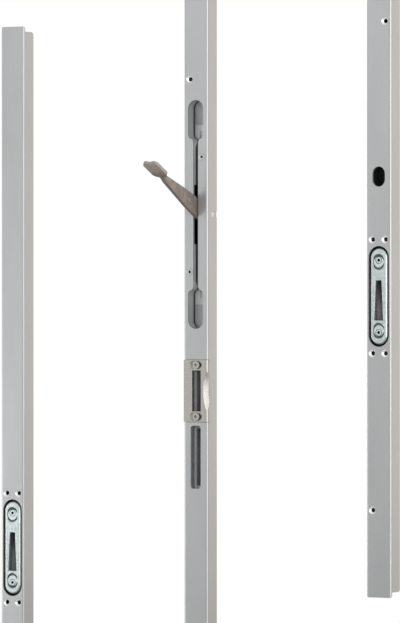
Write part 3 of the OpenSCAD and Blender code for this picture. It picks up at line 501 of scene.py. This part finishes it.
def recess_painted_light_and_shade():
    cast = Finish("recess_painted_light_and_shade")
    haze = cast.noise(TUMBLE_HAZE, 2)
    floor = step(-1 * cast.facing("Y"), 0.6, 0.9)
    depth = cast.axis("Y")
    reach = abs(cast.axis("Z"))
    pocket = step(reach, TROUGH_END, POCKET_START)
    shade_from = TROUGH_SHADE_FROM + (POCKET_SHADE_FROM - TROUGH_SHADE_FROM) * pocket
    wall = (1 - floor) * (1 - step(depth, GROOVE_TOP, GROOVE_TOP + GROOVE_FADE))
    # Painted shade: the walls darken towards the floor.
    wall_shade = wall * step(depth - shade_from, 0, WALL_FADE)
    # Painted light on the near floor, painted shade on the far side.
    far_side = floor * step(reach, FLOOR_FOLD, FLOOR_FOLD + FOLD_FADE)
    darker_tone = cast.blend(step(cast.axis("X"), FAR_SHADE_FROM_X, FAR_SHADE_TO_X), FAR_SHADE_LEFT, FAR_SHADE_RIGHT)
    painted_light_and_walls = cast.blend(pocket * (1 - floor), PALE_METAL_AND_PAINTED_LIGHT, POCKET_WALL_TONE)
    unshaded = cast.blend(0.2 * haze, painted_light_and_walls, HAZE_GREY)
    walls = cast.blend(wall_shade, unshaded, DEEP_PAINTED_SHADE)
    cast.surface(
        base_color=cast.blend(far_side, walls, darker_tone),
        metallic=0.25 - 0.25 * wall_shade,
        specular_ior_level=0.2,
        roughness=0.3 + 0.1 * haze,
        normal=cast.relief(haze, HAZE_DEPTH),
    )
    return cast


store(recess_painted_light_and_shade())

# %% [markdown]
# The keep housings are moulded in black plastic. The pocket behind the slot carries painted
# light that turns it grey, lighter far in and low down. The pocket's place is given as a share
# of the housing's height.

# %% Housing with painted light in the pocket
POCKET_MIDDLE, POCKET_HALF, POCKET_EDGE = 0.468, 0.165, 0.18
POCKET_LIGHT_FROM, POCKET_LIGHT_TO = 0.004, 0.011
POCKET_LIGHT_LOW, POCKET_LIGHT_HIGH = 0.38, 0.62
SPARK_GRAIN, HOUSING_DEPTH = (0.0006,) * 3, 0.00003
HOUSING_BLACK = (0.008, 0.008, 0.008)
# Painted light inside the keep pocket, grey to near white.
POCKET_LIGHT_GREY, POCKET_LIGHT_WHITE = (0.1, 0.1, 0.102), (0.9, 0.9, 0.9)


def housing_painted_light():
    moulded = Finish("housing_painted_light")
    grain = moulded.noise(SPARK_GRAIN, 2)
    height = moulded.share("Z")
    black = step(abs(height - POCKET_MIDDLE), POCKET_HALF, POCKET_EDGE)
    # Painted light: the pocket lightens far in and low down.
    wear_and_painted_light = step(moulded.axis("Y"), POCKET_LIGHT_FROM, POCKET_LIGHT_TO) * (1 - 0.8 * step(height, POCKET_LIGHT_LOW, POCKET_LIGHT_HIGH))
    grey = moulded.blend(wear_and_painted_light, POCKET_LIGHT_GREY, POCKET_LIGHT_WHITE)
    moulded.surface(
        base_color=moulded.blend(black, grey, HOUSING_BLACK),
        roughness=0.3 + 0.14 * grain,
        specular_ior_level=0.1,
        normal=moulded.relief(grain, HOUSING_DEPTH),
    )
    return moulded


store(housing_painted_light())

# %% [markdown]
# The eccentric adjusters and the small screws have hexagon sockets. Each socket is painted
# black as painted shade, and the turned ring round it is painted grey as painted shade. The
# finish fades from metal to grey and black with depth below the face, the piece's own y axis.

# %% Metal with painted shade in the sockets
RING_TOP, RING_DARK = 0.0001, 0.0004
ADJUSTER_SOCKET, SCREW_SOCKET, SOCKET_FADE = 0.0006, 0.00005, 0.0002
TURNED_MOTTLE = (0.0025,) * 3
# Painted shade in the turned ring and the socket.
RING_PAINTED_SHADE, SOCKET_PAINTED_SHADE = (0.12, 0.123, 0.123), (0.008, 0.008, 0.008)


def socket_metal(name, darker_tone, bright, socket_top):
    metal = Finish(name)
    mottle = metal.noise(TURNED_MOTTLE, 3)
    # Painted shade that deepens below the face.
    ring = step(metal.axis("Y"), RING_TOP, RING_DARK)
    deep = step(metal.axis("Y"), socket_top, socket_top + SOCKET_FADE)
    unshaded = metal.blend(step(mottle, 0.35, 0.68), darker_tone, bright)
    turned = metal.blend(ring, unshaded, RING_PAINTED_SHADE)
    metal.surface(
        base_color=metal.blend(deep, turned, SOCKET_PAINTED_SHADE),
        metallic=0.75 - 0.75 * deep,
        roughness=0.24 + 0.12 * mottle + 0.4 * deep,
        specular_ior_level=0.1,
    )
    return metal


store(
    socket_metal(
        "zinc_adjuster", darker_tone=(0.5, 0.57, 0.565), bright=(0.62, 0.68, 0.675), socket_top=ADJUSTER_SOCKET
    )
)
store(
    socket_metal(
        "face_screw", darker_tone=(0.42, 0.43, 0.435), bright=(0.5, 0.51, 0.515), socket_top=SCREW_SOCKET
    )
)

# %% [markdown]
# Guides are moulded in black plastic. The mould was spark-eroded, which leaves a very fine even
# grain, and the plastic is a little shiny between the grains. The boxes behind the strike are
# the same, in grey.

# %% Plastic
MOULD_SWIRL, MOULD_DEPTH = (0.008, 0.008, 0.02), 0.00005


def moulding(name, dark, light):
    moulded = Finish(name)
    grain = moulded.noise(SPARK_GRAIN, 2)
    swirl = moulded.noise(MOULD_SWIRL, 2)
    moulded.surface(
        base_color=moulded.blend(swirl, dark, light),
        roughness=0.3 + 0.2 * grain,
        specular_ior_level=0.2,
        normal=moulded.relief(grain, MOULD_DEPTH),
    )
    return moulded


store(moulding("black_plastic", dark=(0.012, 0.012, 0.013), light=(0.026, 0.024, 0.024)))
store(moulding("grey_plastic", dark=(0.42, 0.42, 0.43), light=(0.5, 0.5, 0.51)))

# %% [markdown]
# Rods, racks, bolts and screws are zinc-plated steel: bright, a touch blue, with drawing
# marks along the bar and a thin cloudy film.

# %% Plated steel
DRAWN_MARKS, DRAWN_DEPTH = (0.0005, 0.0005, 0.02), 0.00003
PLATING_FILM = (0.01, 0.01, 0.02)
PLATING_DARK, PLATING_LIGHT = (0.4, 0.415, 0.43), (0.54, 0.55, 0.555)


def plated_steel():
    plating = Finish("plated_steel")
    drawn = plating.noise(DRAWN_MARKS, 3)
    film = plating.noise(PLATING_FILM, 3)
    plating.surface(
        base_color=plating.blend(step(film, 0.3, 0.7), PLATING_DARK, PLATING_LIGHT),
        metallic=0.85,
        roughness=0.22 + 0.12 * drawn + 0.08 * film,
        normal=plating.relief(drawn, DRAWN_DEPTH),
    )
    return plating


store(plated_steel())

# %% [markdown]
# Each CAD piece names a material slot in its record. One finish per slot is made once and
# put on every piece that asks for it. A few pieces look different from the rest of their slot,
# so they have a finish of their own.

# %% Put the finishes on
OWN_FINISH = {
    "finger_recess": "recess_painted_light_and_shade",
    "keep_housing": "housing_painted_light",
    "keep_adjuster": "zinc_adjuster",
    "case_screws": "face_screw",
    "joint_screws": "face_screw",
    "gear_case_left": "casting_painted_shade_inside",
    "gear_case_right": "casting_painted_shade_inside",
    "latch_box": "grey_plastic",
    "bolt_box": "grey_plastic",
}
for subpart in frame["record"]["subparts"]:
    own = [finish for part, finish in OWN_FINISH.items() if part in subpart["node"]]
    chosen = own[0] if own else subpart["material_slot"]
    piece = nodes[subpart["node"]]
    piece.data.materials.clear()
    piece.data.materials.append(finishes[chosen])

# %% [markdown]
# CAD edges are perfectly sharp, and no real edge is. A narrow bevel catches the light as a thin
# line, which is how the eye reads a cast plate. The packed mesh keeps its corners apart, face by
# face, so Weld joins them first. Bevel then rounds each sharp edge. The lever and the strike have
# edges that run out to nothing, where a bevel would tear, so their finish rounds them instead.

# %% Soft edges
EDGE_WIDTH, EDGE_STEPS = 0.0003, 2
EDGE_TURN = math.radians(35)
CORNER_GAP = 0.000002

softened = [nodes[name] for name in ("strike_carrier", "top_keep_plate", "bottom_keep_plate")]
for piece in softened:
    weld = piece.modifiers.new("join_corners", "WELD")
    weld.merge_threshold = CORNER_GAP
    soft = piece.modifiers.new("soft_edges", "BEVEL")
    soft.width = EDGE_WIDTH
    soft.segments = EDGE_STEPS
    soft.limit_method = "ANGLE"
    soft.angle_limit = EDGE_TURN
    soft.harden_normals = True
    soft.use_clamp_overlap = False
    soft.loop_slide = False
print("softened", [piece.name for piece in softened])

# %% [markdown]
# A plain pale floor takes the shadow in views from above. It lies just under the lowest end
# and isn't part of the lock.

# %% Floor
FLOOR_HALF, FLOOR_DROP = 1.1, 0.002
PAPER_MOTTLE = (0.05,) * 3
PAPER_DARK, PAPER_LIGHT = (0.8, 0.8, 0.8), (0.84, 0.84, 0.84)

floor_z = cad_box[0].z - FLOOR_DROP
square = ((-1, -1), (1, -1), (1, 1), (-1, 1))
corners = [(x * FLOOR_HALF, y * FLOOR_HALF, floor_z) for x, y in square]
floor_mesh = bpy.data.meshes.new("floor")
floor_mesh.from_pydata(corners, [], [(0, 1, 2, 3)])
floor = bpy.data.objects.new("floor", floor_mesh)
scene.collection.objects.link(floor)
paper = Finish("pale_paper")
paper.surface(
    base_color=paper.blend(paper.noise(PAPER_MOTTLE, 3), PAPER_DARK, PAPER_LIGHT),
    roughness=0.9,
)
floor_mesh.materials.append(paper.material)
print("floor at", round(floor_z, 3), "m")

# %% [markdown]
